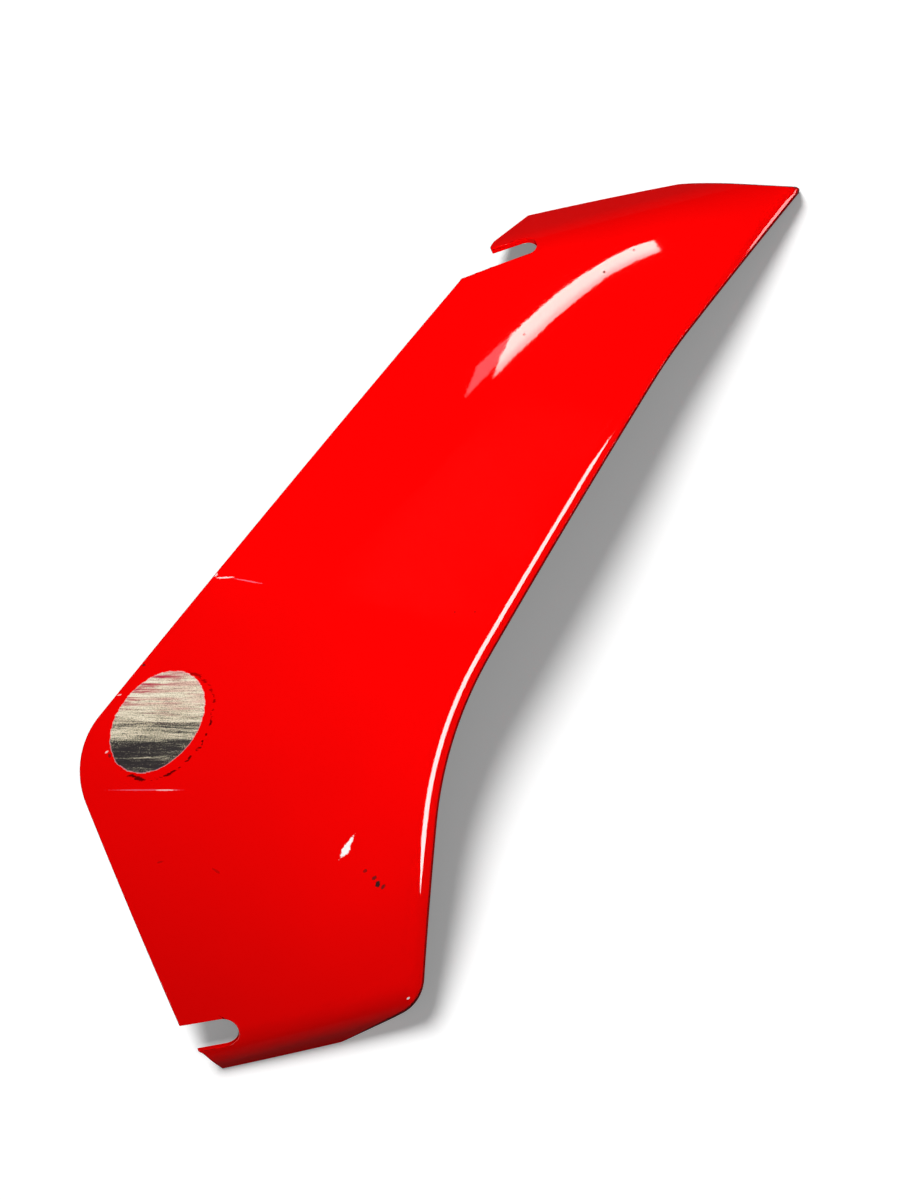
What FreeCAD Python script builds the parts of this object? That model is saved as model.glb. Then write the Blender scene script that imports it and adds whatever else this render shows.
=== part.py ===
import FreeCAD, Part
import math
import os

import Sketcher
from FreeCAD import Placement, Rotation, Vector

# Air deflector panel of a motorcycle: one moulded plastic shell, painted on its outside.
#
# The panel is a barrel vault. Its section, in the YZ plane, is one wide crown arc that turns down
# into a steep flange at each end. The section is turned about a far-off axis below the panel,
# which gives the crown a slight fall to both sides. The panel stands on the lower edges of the two
# flanges. +X runs along the vault, +Y across it, +Z is up and the floor is Z = 0.

os.makedirs("parts", exist_ok=True)
doc = FreeCAD.newDocument("air_deflector_panel")

# Driving sizes in millimetres and degrees

SIZES = [
    ("wall", 2.5, "thickness of the moulding"),
    ("crown_height", 44.0, "top of the crown above the floor"),
    ("crown_radius", 430.0, "crown arc across the vault"),
    ("cross_radius", 1500.0, "fall of the crown to both sides"),
    ("cross_apex_x", -17.2, "where that fall begins"),
    ("half_span", 155.5, "middle of the panel to the foot of each end flange"),
    ("lower_flange_angle", 60.0, "steepness of the lower end flange"),
    ("lower_bend_radius", 16.0, "bend above the lower end flange"),
    ("upper_flange_angle", 53.0, "steepness of the upper end flange"),
    ("upper_bend_radius", 20.0, "bend above the upper end flange"),
    ("rim_height", 8.0, "depth of the return flange below the crown"),
    ("rim_draft", 10.0, "lean of the return flange"),
    ("tip_x", 174.0, "point between the top edge and the right edge"),
    ("tip_y", 135.6, "the same point"),
    ("upper_turn_x", 102.2, "slight turn in the right edge"),
    ("upper_turn_y", 79.4, "the same turn"),
    ("upper_turn_radius", 250.0, "rounding of that turn"),
    ("waist_x", -21.6, "hollow turn in the right edge"),
    ("waist_y", -44.8, "the same turn"),
    ("waist_radius", 170.0, "rounding of that turn"),
    ("heel_x", -63.6, "corner between the right edge and the lower end"),
    ("heel_y", -146.9, "the same corner"),
    ("heel_radius", 14.0, "rounding of that corner"),
    ("heel_slope", 10.1, "slant of the lower end beside that corner"),
    ("top_turn_x", 112.8, "turn in the top edge, level with the upper foot"),
    ("top_turn_radius", 240.0, "rounding of that turn"),
    ("roll_drop", 2.6, "depth of the rolled band at the return flange"),
    ("roll_angle", 35.0, "steepness of the rolled band"),
    ("roll_radius", 8.0, "blend from the crown into the rolled band"),
    ("fold_radius", 1.0, "rounding between the rolled band and the return flange"),
    ("shoulder_x", 27.7, "upper end of the left edge"),
    ("shoulder_y", 133.4, "the same corner"),
    ("elbow_x", -174.0, "left corner of the panel"),
    ("elbow_y", -11.1, "the same corner"),
    ("elbow_radius", 26.0, "rounding of that corner"),
    ("hip_x", -160.8, "lower end of the left edge, at the slot"),
    ("hip_y", -128.9, "the same corner"),
    ("lower_tongue_x", -156.5, "tip of the lower tongue"),
    ("lower_tongue_y", -141.2, "the same tip"),
    ("lower_tongue_lean", 30.0, "slant of the cut end of the lower tongue"),
    ("upper_tongue_x", 42.3, "tip of the upper tongue"),
    ("upper_tongue_y", 143.6, "the same tip"),
    ("upper_tongue_lean", 62.0, "slant of the cut end of the upper tongue"),
    ("corner_radius", 1.5, "rounding of the small corners"),
    ("lower_slot_x", -144.7, "centre of the closed end of the lower slot"),
    ("lower_slot_y", -135.0, "the same centre"),
    ("lower_slot_width", 12.6, "width along the surface"),
    ("lower_slot_tilt", 24.0, "lean of the surface there"),
    ("lower_slot_turn", 0.0, "turn of the slot on the surface"),
    ("upper_slot_x", 56.3, "centre of the closed end of the upper slot"),
    ("upper_slot_y", 140.2, "the same centre"),
    ("upper_slot_width", 10.0, "width along the surface"),
    ("upper_slot_tilt", 50.0, "lean of the surface there"),
    ("upper_slot_turn", 15.0, "turn of the slot on the surface"),
    ("slot_reach", 60.0, "length of the slot cutters, past the edge of the panel"),
    ("scuff_x", -135.0, "middle of the ground-down scuff"),
    ("scuff_y", -8.0, "the same middle"),
    ("scuff_length", 42.0, "along the left edge"),
    ("scuff_width", 34.0, "across it"),
    ("scuff_turn", 36.0, "direction of its long axis in plan"),
    ("scuff_depth", 0.35, "deepest wear"),
    ("overrun", 20.0, "how far the cutting solids stand out of what they cut"),
]

sheet = doc.addObject("Spreadsheet::Sheet", "sizes")
for row, (name, value, note) in enumerate(SIZES, start=1):
    sheet.set("A%d" % row, name)
    sheet.set("B%d" % row, str(value))
    sheet.set("C%d" % row, note)
    sheet.setAlias("B%d" % row, name)
doc.recompute()


class Size:
    """A number worked out from the sheet, kept together with the expression that gives it."""

    def __init__(self, value, text):
        self.value = value
        self.text = text

    def __add__(self, other):
        return Size(self.value + other.value, "(%s + %s)" % (self.text, other.text))

    def __sub__(self, other):
        return Size(self.value - other.value, "(%s - %s)" % (self.text, other.text))

    def __mul__(self, other):
        return Size(self.value * other.value, "(%s * %s)" % (self.text, other.text))

    def __truediv__(self, other):
        return Size(self.value / other.value, "(%s / %s)" % (self.text, other.text))

    def __neg__(self):
        return Size(-self.value, "(0 - %s)" % self.text)


def cell(name):
    return Size(float(sheet.get(name)), "sizes." + name)


def number(value):
    return Size(float(value), "%r" % float(value))


def sine(angle):
    return Size(math.sin(math.radians(angle.value)), "sin(%s * 1 deg)" % angle.text)


def tangent(angle):
    return Size(math.tan(math.radians(angle.value)), "tan(%s * 1 deg)" % angle.text)


def root(square):
    return Size(math.sqrt(square.value), "sqrt(%s)" % square.text)


NOTHING = number(0)


# Helpers for sketches, bodies and booleans


def new_body(name):
    return doc.addObject("PartDesign::Body", name)


def new_sketch(body, name, role):
    plane = [feature for feature in body.Origin.OriginFeatures if feature.Role == role][0]
    sketch = body.newObject("Sketcher::SketchObject", name)
    sketch.AttachmentSupport = [(plane, "")]
    sketch.MapMode = "FlatFace"
    return sketch


def bind(sketch, kind, *args):
    """Add a driving constraint; its last argument is a Size, in millimetres or degrees."""
    driven = args[-1]
    value = math.radians(driven.value) if kind == "Angle" else driven.value
    unit = "1 deg" if kind == "Angle" else "1 mm"
    index = sketch.addConstraint(Sketcher.Constraint(kind, *args[:-1], value))
    sketch.setExpression("Constraints[%d]" % index, "%s * %s" % (driven.text, unit))


def join(sketch, kind, *args):
    """Add a geometric constraint."""
    sketch.addConstraint(Sketcher.Constraint(kind, *args))


def place_point(sketch, geometry, end, x, y):
    """Hold one point of a sketch at x, y from the sketch's origin."""
    bind(sketch, "DistanceX", -1, 1, geometry, end, x)
    bind(sketch, "DistanceY", -1, 1, geometry, end, y)


def cut(name, base, tool):
    result = doc.addObject("Part::Cut", name)
    result.Base = base
    result.Tool = tool
    return result


def common(name, shapes):
    result = doc.addObject("Part::MultiCommon", name)
    result.Shapes = shapes
    return result


def outline(body, name, corners):
    """A closed outline on the floor plane. Each corner is x, y and a radius, or None if sharp."""
    sketch = new_sketch(body, name, "XY_Plane")
    count = len(corners)
    places = [Vector(x.value, y.value, 0) for x, y, radius in corners]
    starts, middles, ends = [], [], []
    for i, (x, y, radius) in enumerate(corners):
        back = (places[i - 1] - places[i]).normalize()
        ahead = (places[(i + 1) % count] - places[i]).normalize()
        half = back.getAngle(ahead) / 2
        rounding = radius.value if radius else 0.0
        run = rounding / math.tan(half)
        depth = rounding / math.sin(half) - rounding
        starts.append(places[i] + back * run)
        middles.append(places[i] + (back + ahead).normalize() * depth)
        ends.append(places[i] + ahead * run)

    lines = [
        sketch.addGeometry(Part.LineSegment(ends[i], starts[(i + 1) % count]))
        for i in range(count)
    ]
    for i, (x, y, radius) in enumerate(corners):
        before, after = lines[i - 1], lines[i]
        if radius is None:
            join(sketch, "Coincident", before, 2, after, 1)
            place_point(sketch, after, 1, x, y)
            continue
        arc = sketch.addGeometry(Part.Arc(starts[i], middles[i], ends[i]))
        turns_left = (starts[i] - places[i]).cross(ends[i] - places[i]).z < 0
        first, last = (1, 2) if turns_left else (2, 1)
        join(sketch, "Tangent", before, 2, arc, first)
        join(sketch, "Tangent", after, 1, arc, last)
        bind(sketch, "Radius", arc, radius)
        corner = sketch.addGeometry(Part.Point(places[i]), True)
        join(sketch, "PointOnObject", corner, 1, before)
        join(sketch, "PointOnObject", corner, 1, after)
        place_point(sketch, corner, 1, x, y)
    return sketch


def pad(body, name, sketch, length):
    feature = body.newObject("PartDesign::Pad", name)
    feature.Profile = sketch
    feature.setExpression("Length", length.text + " * 1 mm")
    return feature


# The vault


def flange_layout(side, inset, drop):
    """One end of the section: angle, bend radius and foot as Sizes, then points for the sketch."""
    angle = cell(side + "_flange_angle")
    bend = cell(side + "_bend_radius") - inset
    foot = cell("half_span") + (cell("overrun") - drop) / tangent(angle) - inset / sine(angle)

    radius = cell("crown_radius").value - inset.value
    centre_z = cell("crown_height").value - drop.value - cell("crown_radius").value
    up = Vector(-math.cos(math.radians(angle.value)), math.sin(math.radians(angle.value)), 0)
    out = Vector(up.y, -up.x, 0)
    crown_centre = Vector(0, centre_z, 0)
    foot_point = Vector(foot.value, -cell("overrun").value, 0)
    reach = foot_point - out * bend.value - crown_centre
    along = reach.dot(up)
    run = math.sqrt(along ** 2 - reach.Length ** 2 + (radius - bend.value) ** 2) - along
    bend_centre = foot_point + up * run - out * bend.value
    on_crown = crown_centre + (bend_centre - crown_centre).normalize() * radius
    on_flange = bend_centre + out * bend.value
    return angle, bend, foot, foot_point, bend_centre, on_crown, on_flange


def arc_between(centre, first, last):
    """The arc about centre from first to last, counter-clockwise."""
    circle = Part.Circle(centre, Vector(0, 0, 1), (first - centre).Length)
    return Part.ArcOfCircle(circle, circle.parameter(first), circle.parameter(last))


def vault(name, inset=NOTHING, drop=NOTHING):
    """The solid under the vault, its surface moved inward by inset and downward by drop."""
    body = new_body(name)
    sketch = new_sketch(body, name + "_section", "YZ_Plane")
    sketch.setExpression("AttachmentOffset.Base.z", "sizes.cross_apex_x * 1 mm")
    centre_z = cell("crown_height") - drop - cell("crown_radius")
    centre = Vector(0, centre_z.value, 0)

    def mirrored(point):
        return Vector(-point.x, point.y, 0)

    upper_angle, upper_bend, upper_foot, *upper = flange_layout("upper", inset, drop)
    lower_angle, lower_bend, lower_foot, *lower = flange_layout("lower", inset, drop)
    foot_u, bend_u, crown_u, flange_u = upper
    foot_l, bend_l, crown_l, flange_l = [mirrored(point) for point in lower]

    crown = sketch.addGeometry(arc_between(centre, crown_u, crown_l))
    bend_low = sketch.addGeometry(arc_between(bend_l, crown_l, flange_l))
    bend_up = sketch.addGeometry(arc_between(bend_u, flange_u, crown_u))
    leg_low = sketch.addGeometry(Part.LineSegment(foot_l, flange_l))
    leg_up = sketch.addGeometry(Part.LineSegment(foot_u, flange_u))
    base = sketch.addGeometry(Part.LineSegment(foot_l, foot_u))

    join(sketch, "Tangent", crown, 1, bend_up, 2)
    join(sketch, "Tangent", crown, 2, bend_low, 1)
    join(sketch, "Tangent", bend_up, 1, leg_up, 2)
    join(sketch, "Tangent", bend_low, 2, leg_low, 2)
    join(sketch, "Coincident", base, 1, leg_low, 1)
    join(sketch, "Coincident", base, 2, leg_up, 1)
    place_point(sketch, crown, 3, NOTHING, centre_z)
    bind(sketch, "Radius", crown, cell("crown_radius") - inset)
    bind(sketch, "Radius", bend_low, lower_bend)
    bind(sketch, "Radius", bend_up, upper_bend)
    bind(sketch, "Angle", leg_low, lower_angle)
    bind(sketch, "Angle", leg_up, number(180) - upper_angle)
    place_point(sketch, leg_low, 1, -lower_foot, -cell("overrun"))
    place_point(sketch, leg_up, 1, upper_foot, -cell("overrun"))

    axis_z = cell("crown_height") - cell("cross_radius")
    axis_end = cell("overrun")
    axis = sketch.addGeometry(
        Part.LineSegment(Vector(0, axis_z.value, 0), Vector(axis_end.value, axis_z.value, 0)), True)
    place_point(sketch, axis, 1, NOTHING, axis_z)
    place_point(sketch, axis, 2, axis_end, axis_z)

    turned = body.newObject("PartDesign::Revolution", name + "_turned")
    turned.Profile = sketch
    turned.ReferenceAxis = (sketch, ["Axis0"])
    turned.Midplane = True
    reach = (cell("tip_x") - cell("elbow_x")) / cell("cross_radius")
    turned.setExpression("Angle", "2 * %s * 1 rad" % reach.text)
    return body


# The edge of the panel, as seen from above


def rim_corners():
    """The edge with the return flange, where its drafted wall meets the floor plane."""
    span = cell("half_span")
    far_left = cell("elbow_x") - cell("overrun")
    lower_line = -span - cell("wall")
    upper_line = span
    run_x = cell("heel_x") - (cell("heel_y") - lower_line) / tangent(cell("heel_slope"))
    return [
        (cell("tip_x"), cell("tip_y"), None),
        (cell("top_turn_x"), upper_line, cell("top_turn_radius")),
        (far_left, upper_line, None),
        (far_left, lower_line, None),
        (run_x, lower_line, None),
        (cell("heel_x"), cell("heel_y"), cell("heel_radius")),
        (cell("waist_x"), cell("waist_y"), cell("waist_radius")),
        (cell("upper_turn_x"), cell("upper_turn_y"), cell("upper_turn_radius")),
    ]


def cut_edge_corners():
    """The edges that were cut clean: the left side and the ends of the two tongues."""
    below = -cell("half_span") - cell("overrun")
    above = cell("half_span") + cell("overrun")
    right = cell("tip_x") + cell("overrun")
    lower_run = (cell("lower_tongue_y") - below) * tangent(cell("lower_tongue_lean"))
    upper_run = (above - cell("upper_tongue_y")) * tangent(cell("upper_tongue_lean"))
    small = cell("corner_radius")
    return [
        (cell("elbow_x"), cell("elbow_y"), cell("elbow_radius")),
        (cell("hip_x"), cell("hip_y"), small),
        (cell("lower_tongue_x"), cell("lower_tongue_y"), small),
        (cell("lower_tongue_x") + lower_run, below, None),
        (right, below, None),
        (right, above, None),
        (cell("upper_tongue_x") + upper_run, above, None),
        (cell("upper_tongue_x"), cell("upper_tongue_y"), small),
        (cell("shoulder_x"), cell("shoulder_y"), small),
    ]


def drafted_block(name, wire):
    """Everything inside the rim, with the lean of the return flange."""
    block = doc.addObject("Part::Extrusion", name)
    block.Base = wire
    block.DirMode = "Custom"
    block.Dir = Vector(0, 0, 1)
    block.Solid = True
    block.setExpression("LengthFwd", "(sizes.crown_height + sizes.overrun) * 1 mm")
    block.setExpression("TaperAngle", "-sizes.rim_draft * 1 deg")
    return block


rim_sketch = outline(new_body("rim"), "rim_outline", rim_corners())
rim_inside = doc.addObject("Part::Offset2D", "rim_inside")
rim_inside.Source = rim_sketch
rim_inside.setExpression("Value", "-sizes.wall * 1 mm")
rim_inside.Join = "Intersection"

outer_block = common("outer_block", [vault("outer_vault"), drafted_block("outer_rim", rim_sketch)])
inner_block = common(
    "inner_block",
    [vault("inner_vault", inset=cell("wall")), drafted_block("inner_rim", rim_inside)])
doc.recompute()


# The rolled band: the crown turns down before it meets the return flange


def crest_line(block):
    """The line where the crown meets the return flange, from the heel to the tip, run straight on."""
    crown = max(block.Faces, key=lambda face: face.Area if "Toroid" in face.Surface.TypeId else 0)
    points = []
    for edge in crown.Edges:
        ends = [edge.valueAt(edge.FirstParameter), edge.valueAt(edge.LastParameter)]
        across = abs(ends[0].y - ends[1].y) > cell("wall").value
        if across and min(ends[0].x, ends[1].x) > cell("elbow_x").value:
            points += edge.discretize(Number=9)
    points.sort(key=lambda point: point.y)
    line = [points[0]]
    for point in points[1:]:
        if point.distanceToPoint(line[-1]) > 1.0:
            line.append(point)
    run = cell("overrun").value
    heel_end = line[0] + (line[0] - line[1]).normalize() * run
    tip_end = line[-1] + (line[-1] - line[-2]).normalize() * run
    curve = Part.BSplineCurve()
    curve.interpolate([heel_end] + line + [tip_end])
    return curve


def roll_cutter(name, crest, drop):
    """What the rolled band takes off: a wedge above a slanting plane, swept along the crest."""
    start = crest.value(crest.FirstParameter)
    heading = crest.tangent(crest.FirstParameter)[0]
    outward = Vector(heading.y, -heading.x, 0).normalize()
    slope = math.tan(math.radians(cell("roll_angle").value))
    reach = cell("overrun").value

    def corner(away, height):
        return start + outward * away + Vector(0, 0, height)

    near = cell("wall").value * 2
    section = Part.makePolygon([
        corner(near, -drop - near * slope),
        corner(-reach, -drop + reach * slope),
        corner(-reach, reach * 2),
        corner(near, reach * 2),
        corner(near, -drop - near * slope),
    ])
    sweep = Part.BRepOffsetAPI.MakePipeShell(Part.Wire([crest.toShape()]))
    sweep.setBiNormalMode(Vector(0, 0, 1))
    sweep.add(section, False, False)
    sweep.build()
    sweep.makeSolid()
    wedge = doc.addObject("Part::Feature", name)
    wedge.Shape = sweep.shape()
    return wedge


crest = crest_line(outer_block.Shape)
lean = math.cos(math.radians(cell("roll_angle").value))
outer_roll = roll_cutter("outer_roll", crest, cell("roll_drop").value)
inner_roll = roll_cutter("inner_roll", crest, cell("roll_drop").value + cell("wall").value / lean)
outer_solid = cut("outer_solid", outer_block, outer_roll)
inner_solid = cut("inner_solid", inner_block, inner_roll)
doc.recompute()


# The small rounding along the top of the return flange


def outward_normal(face, point):
    u, v = face.Surface.parameter(point)
    return face.normalAt(u, v)


def fold_edges(shape):
    """Edges where a drafted wall of the rim meets the surface above it, and the tip's own edge."""
    steepest = math.sin(math.radians(cell("rim_draft").value * 2))
    least_turn = math.radians(29.5)
    found = []
    for number_of_edge, edge in enumerate(shape.Edges, start=1):
        middle = edge.valueAt((edge.FirstParameter + edge.LastParameter) / 2)
        if middle.x < cell("elbow_x").value or middle.z < cell("fold_radius").value:
            continue
        sides = [face for face in shape.Faces if any(other.isSame(edge) for other in face.Edges)]
        normals = [outward_normal(face, middle) for face in sides]
        leans = min(abs(normal.z) for normal in normals) < steepest
        if leans and normals[0].getAngle(normals[1]) > least_turn:
            found.append(number_of_edge)
    return found


folded_solid = doc.addObject("Part::Fillet", "folded_solid")
folded_solid.Base = outer_solid
fold_radius = cell("fold_radius").value
folded_solid.Edges = [(edge, fold_radius, fold_radius) for edge in fold_edges(outer_solid.Shape)]

# The slots and the scuff, as cutting solids


def slot_cutter(side, height, tilt):
    """A slot with a round closed end, open to -X, square to the surface it goes through."""
    body = new_body(side + "_slot")
    sketch = new_sketch(body, side + "_slot_outline", "XY_Plane")
    sketch.AttachmentOffset = Placement(Vector(0, 0, 0), Rotation(Vector(1, 0, 0), 1.0))
    sketch.setExpression("AttachmentOffset.Base.x", "sizes.%s_slot_x * 1 mm" % side)
    sketch.setExpression("AttachmentOffset.Base.y", "sizes.%s_slot_y * 1 mm" % side)
    sketch.setExpression("AttachmentOffset.Base.z", height.text + " * 1 mm")
    sketch.setExpression("AttachmentOffset.Rotation.Angle", tilt.text + " * 1 deg")

    width = cell(side + "_slot_width")
    turn = math.radians(cell(side + "_slot_turn").value)
    along = Vector(math.cos(turn), math.sin(turn), 0)
    aside = Vector(-along.y, along.x, 0) * (width.value / 2)
    mouth = along * -cell("slot_reach").value
    centre = Vector(0, 0, 0)
    end = sketch.addGeometry(arc_between(centre, -aside, aside))
    upper = sketch.addGeometry(Part.LineSegment(aside, mouth + aside))
    lower = sketch.addGeometry(Part.LineSegment(mouth - aside, -aside))
    across = sketch.addGeometry(Part.LineSegment(mouth + aside, mouth - aside))
    join(sketch, "Coincident", end, 3, -1, 1)
    join(sketch, "Tangent", end, 2, upper, 1)
    join(sketch, "Tangent", end, 1, lower, 2)
    join(sketch, "Coincident", upper, 2, across, 1)
    join(sketch, "Coincident", across, 2, lower, 1)
    join(sketch, "Perpendicular", across, lower)
    bind(sketch, "Radius", end, width / number(2))
    bind(sketch, "Distance", lower, cell("slot_reach"))
    bind(sketch, "Angle", lower, cell(side + "_slot_turn"))
    cutter = pad(body, side + "_slot_depth", sketch, cell("overrun") * number(2))
    cutter.Midplane = True
    return body


def cross_fall(x):
    """How far the surface has fallen at x, below its height over the apex of that fall."""
    radius = cell("cross_radius")
    away = x - cell("cross_apex_x")
    return radius - root(radius * radius - away * away)


crown_radius = cell("crown_radius")
lower_y = cell("lower_slot_y")
crown_fall = crown_radius - root(crown_radius * crown_radius - lower_y * lower_y)
lower_height = cell("crown_height") - crown_fall - cross_fall(cell("lower_slot_x"))
upper_rise = (cell("half_span") - cell("upper_slot_y")) * tangent(cell("upper_flange_angle"))
upper_height = upper_rise - cross_fall(cell("upper_slot_x"))
lower_slot = slot_cutter("lower", lower_height, cell("lower_slot_tilt"))
upper_slot = slot_cutter("upper", upper_height, -cell("upper_slot_tilt"))

scuff_outline = doc.addObject("Part::Ellipse", "scuff_outline")
scuff_outline.setExpression("MajorRadius", "sizes.scuff_length / 2 * 1 mm")
scuff_outline.setExpression("MinorRadius", "sizes.scuff_width / 2 * 1 mm")
scuff_x = cell("scuff_x")
scuff_y = cell("scuff_y")
scuff_fall = crown_radius - root(crown_radius * crown_radius - scuff_y * scuff_y)
scuff_top = cell("crown_height") - scuff_fall - cross_fall(scuff_x)
scuff_slope = (scuff_x - cell("cross_apex_x")) / cell("cross_radius")
scuff_outline.Placement = Placement(
    Vector(scuff_x.value, scuff_y.value, scuff_top.value - cell("scuff_depth").value),
    Rotation(Vector(0, 1, 0), math.degrees(math.asin(scuff_slope.value)))
    * Rotation(Vector(0, 0, 1), cell("scuff_turn").value))
scuff = doc.addObject("Part::Extrusion", "scuff")
scuff.Base = scuff_outline
scuff.DirMode = "Normal"
scuff.Solid = True
scuff.setExpression("LengthFwd", "sizes.overrun * 1 mm")

# The shell

left_body = new_body("left_side")
left_sketch = outline(left_body, "left_outline", cut_edge_corners())
pad(left_body, "left_pad", left_sketch, cell("crown_height") + cell("overrun"))

shell = cut("shell", folded_solid, inner_solid)
open_below = cut("open_below", shell, vault("rim_underside", drop=cell("rim_height")))
trimmed = common("trimmed", [open_below, left_body])
with_lower_slot = cut("with_lower_slot", trimmed, lower_slot)
with_upper_slot = cut("with_upper_slot", with_lower_slot, upper_slot)
panel = cut("panel", with_upper_slot, scuff)
panel.Label = "deflector_panel"
doc.recompute()

# Checks and export

failed = [obj.Name for obj in doc.Objects if "Invalid" in obj.State or "Error" in obj.State]
if failed:
    raise RuntimeError("not built: " + ", ".join(failed))
if panel.Shape.isNull() or not panel.Shape.isValid() or len(panel.Shape.Solids) != 1:
    raise RuntimeError("the panel is not one valid solid")
panel.Shape.exportStep("parts/%s.step" % panel.Label)
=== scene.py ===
import math

import bpy
import numpy as np
from mathutils import Matrix, Vector


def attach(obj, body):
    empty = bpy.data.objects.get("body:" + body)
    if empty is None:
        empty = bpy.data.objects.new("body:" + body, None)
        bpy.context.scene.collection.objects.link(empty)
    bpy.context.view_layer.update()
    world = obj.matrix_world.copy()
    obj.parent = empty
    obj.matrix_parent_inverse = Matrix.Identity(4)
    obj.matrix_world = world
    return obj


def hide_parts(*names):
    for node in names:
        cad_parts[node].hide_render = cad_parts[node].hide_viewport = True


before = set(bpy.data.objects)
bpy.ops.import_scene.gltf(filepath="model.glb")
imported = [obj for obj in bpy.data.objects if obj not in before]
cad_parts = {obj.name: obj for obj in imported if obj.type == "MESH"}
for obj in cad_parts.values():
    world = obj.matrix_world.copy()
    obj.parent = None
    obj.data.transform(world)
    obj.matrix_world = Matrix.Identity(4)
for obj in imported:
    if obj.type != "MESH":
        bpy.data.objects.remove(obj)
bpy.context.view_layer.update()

# The panel: one moulding of ivory ABS, painted red on its outside, and held by a screw and a
# bushing in the slot of each of its two tongues. Its section is a wide crown arc with a bend and a
# steep flange at each end, and it falls a little to both sides. Sizes are in millimetres.

MM = 0.001
WALL = 2.5
CROWN_HEIGHT, CROWN_RADIUS = 44.0, 430.0
CROSS_RADIUS, CROSS_APEX_X = 1500.0, -17.2
HALF_SPAN = 155.5
LOWER_ANGLE, LOWER_BEND = math.radians(60.0), 27.0
UPPER_ANGLE, UPPER_BEND = math.radians(53.0), 34.0


def end_of_section(angle, bend):
    """Centre of the bend, and where the crown arc and the straight flange meet it."""
    up = Vector((-math.cos(angle), math.sin(angle)))
    out = Vector((math.sin(angle), math.cos(angle)))
    crown_centre = Vector((0.0, CROWN_HEIGHT - CROWN_RADIUS))
    foot = Vector((HALF_SPAN, 0.0)) - out * bend
    along = (foot - crown_centre).dot(up)
    reach = (foot - crown_centre).length
    centre = foot + up * (
        math.sqrt(along ** 2 - reach ** 2 + (CROWN_RADIUS - bend) ** 2) - along)
    spoke = (centre - crown_centre).normalized()
    return centre, spoke, out


def section_height(y, inset):
    """Height of the section at y, on the outer surface or on one that lies inset below it."""
    height = CROWN_HEIGHT - CROWN_RADIUS + np.sqrt((CROWN_RADIUS - inset) ** 2 - y ** 2)
    for side, angle, bend in ((1, UPPER_ANGLE, UPPER_BEND), (-1, LOWER_ANGLE, LOWER_BEND)):
        centre, spoke, out = end_of_section(angle, bend)
        radius = bend - inset
        away = y * side
        on_bend = away > centre.x + spoke.x * radius
        run = np.clip(away - centre.x, 0, radius)
        height = np.where(on_bend, centre.y + np.sqrt(radius ** 2 - run ** 2), height)
        on_flange = away > centre.x + out.x * radius
        foot = HALF_SPAN - inset / math.sin(angle)
        height = np.where(on_flange, (foot - away) * math.tan(angle), height)
    return height


def vault_height(x, y, inset=0.0, drop=0.0):
    """Height of the vault, which is the section turned about an axis far below the panel."""
    axis = CROWN_HEIGHT - CROSS_RADIUS
    spoke = section_height(y, inset) - drop - axis
    return axis + np.sqrt(spoke ** 2 - (x - CROSS_APEX_X) ** 2)


# The rim: the right edge from the heel to the tip, the top edge and the lower end have a return
# flange that leans outwards, and along the right edge the crown first rolls down into it.

DRAFT = math.tan(math.radians(10.0))
RIM_HEIGHT = 8.0
ROLL_DROP, ROLL_SLOPE = 2.6, math.tan(math.radians(35.0))
ROLL_BLEND, FOLD_BLEND = 1.9, 0.5
TIP, TIP_RADIUS = (174.0, 135.6), 2.0
TOP_TURN, TOP_TURN_RADIUS = (112.8, 155.5), 240.0
UPPER_TURN, UPPER_TURN_RADIUS = (103.4, 78.6), 250.0
WAIST, WAIST_RADIUS = (-20.8, -45.0), 170.0
HEEL, HEEL_RADIUS, HEEL_SLOPE = (-62.2, -147.3), 20.0, math.tan(math.radians(10.1))
LOWER_LINE, LOWER_TURN_RADIUS = -HALF_SPAN - WALL, 150.0
UPPER_TONGUE, UPPER_LEAN = (42.3, 143.6), math.tan(math.radians(62.0))
LOWER_TONGUE, LOWER_LEAN = (-156.5, -141.2), math.tan(math.radians(30.0))
STEP, SAME_PLACE = 1.0, 1e-6


def rounded_line(corners, step=STEP):
    """Points about one step apart along a line whose corners are given as (place, radius)."""
    places = [Vector(place) for place, radius in corners]
    points = [places[0]]
    for i in range(1, len(corners) - 1):
        back = (places[i - 1] - places[i]).normalized()
        ahead = (places[i + 1] - places[i]).normalized()
        half = back.angle(ahead) / 2
        radius = corners[i][1]
        if not radius:
            points.append(places[i])
            continue
        run = radius / math.tan(half)
        centre = places[i] + (back + ahead).normalized() * radius / math.sin(half)
        first = places[i] + back * run - centre
        turn = first.angle_signed(places[i] + ahead * run - centre)
        count = max(2, int(abs(turn) * radius / step))
        for k in range(count + 1):
            spoke = first.copy()
            spoke.rotate(Matrix.Rotation(-turn * k / count, 2))
            points.append(centre + spoke)
    points.append(places[-1])
    full = [points[0]]
    for point in points[1:]:
        gap = (point - full[-1]).length
        count = max(1, round(gap / step))
        start = full[-1]
        if gap > SAME_PLACE:
            full += [start.lerp(point, (k + 1) / count) for k in range(count)]
    return np.array([tuple(point) for point in full])


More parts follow.
